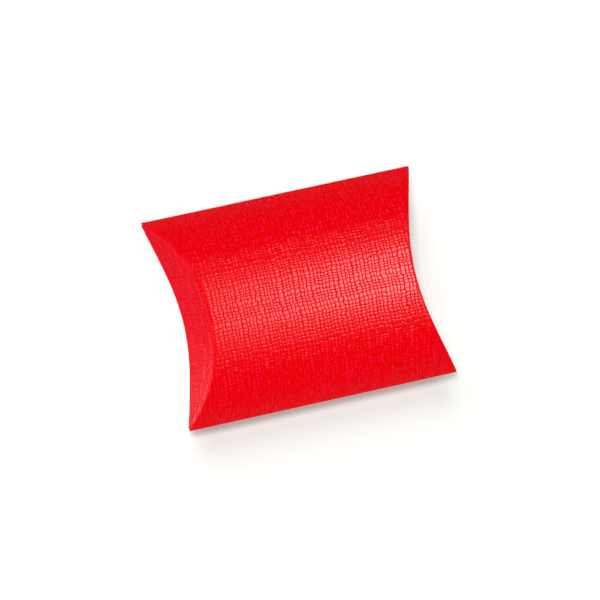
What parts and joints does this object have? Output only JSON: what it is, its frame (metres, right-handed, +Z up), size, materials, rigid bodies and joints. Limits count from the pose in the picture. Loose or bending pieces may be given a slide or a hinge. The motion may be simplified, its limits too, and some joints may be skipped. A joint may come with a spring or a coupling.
{
  "type": "pillow box",
  "caption": "Small gift box folded from one sheet of embossed red paperboard, with bulging main panels and pairs of curved end flaps.",
  "frame": {"origin": "centre of the box's footprint, on the level that it rests on", "axes": "+X along the two straight side folds, +Y across the box towards the glued seam, +Z up, out of the front panel"},
  "size_m": [0.0896, 0.0641, 0.0215],
  "materials": {
    "red_board": "satin red coating embossed with a fine linen weave, plain inside",
    "dried_glue": "dried white glue"
  },
  "bodies": {
    "sleeve": {"front_panel": "red_board", "back_panel": "red_board", "glue_tab": "red_board", "glue_strip": "dried_glue"},
    "left_outer": {"left_outer_flap": "red_board"},
    "left_inner": {"left_inner_flap": "red_board"},
    "right_outer": {"right_outer_flap": "red_board"},
    "right_inner": {"right_inner_flap": "red_board"}
  },
  "joints": [
    {"name": "left_outer_fold", "type": "hinge", "parent": "sleeve", "child": "left_outer", "pos_m": [-0.03425, 0, 0.0215], "axis": [0, 1, 0], "range_deg": [0, 90]},
    {"name": "left_inner_fold", "type": "hinge", "parent": "sleeve", "child": "left_inner", "pos_m": [-0.03355, 0, 0], "axis": [0, -1, 0], "range_deg": [0, 76.5]},
    {"name": "right_outer_fold", "type": "hinge", "parent": "sleeve", "child": "right_outer", "pos_m": [0.03425, 0, 0.0215], "axis": [0, -1, 0], "range_deg": [0, 90]},
    {"name": "right_inner_fold", "type": "hinge", "parent": "sleeve", "child": "right_inner", "pos_m": [0.03355, 0, 0], "axis": [0, 1, 0], "range_deg": [0, 76.5]}
  ],
  "couplings": [
    {"joint": "left_inner_fold", "follows": "left_outer_fold", "ratio": 0.85},
    {"joint": "right_inner_fold", "follows": "right_outer_fold", "ratio": 0.85}
  ]
}
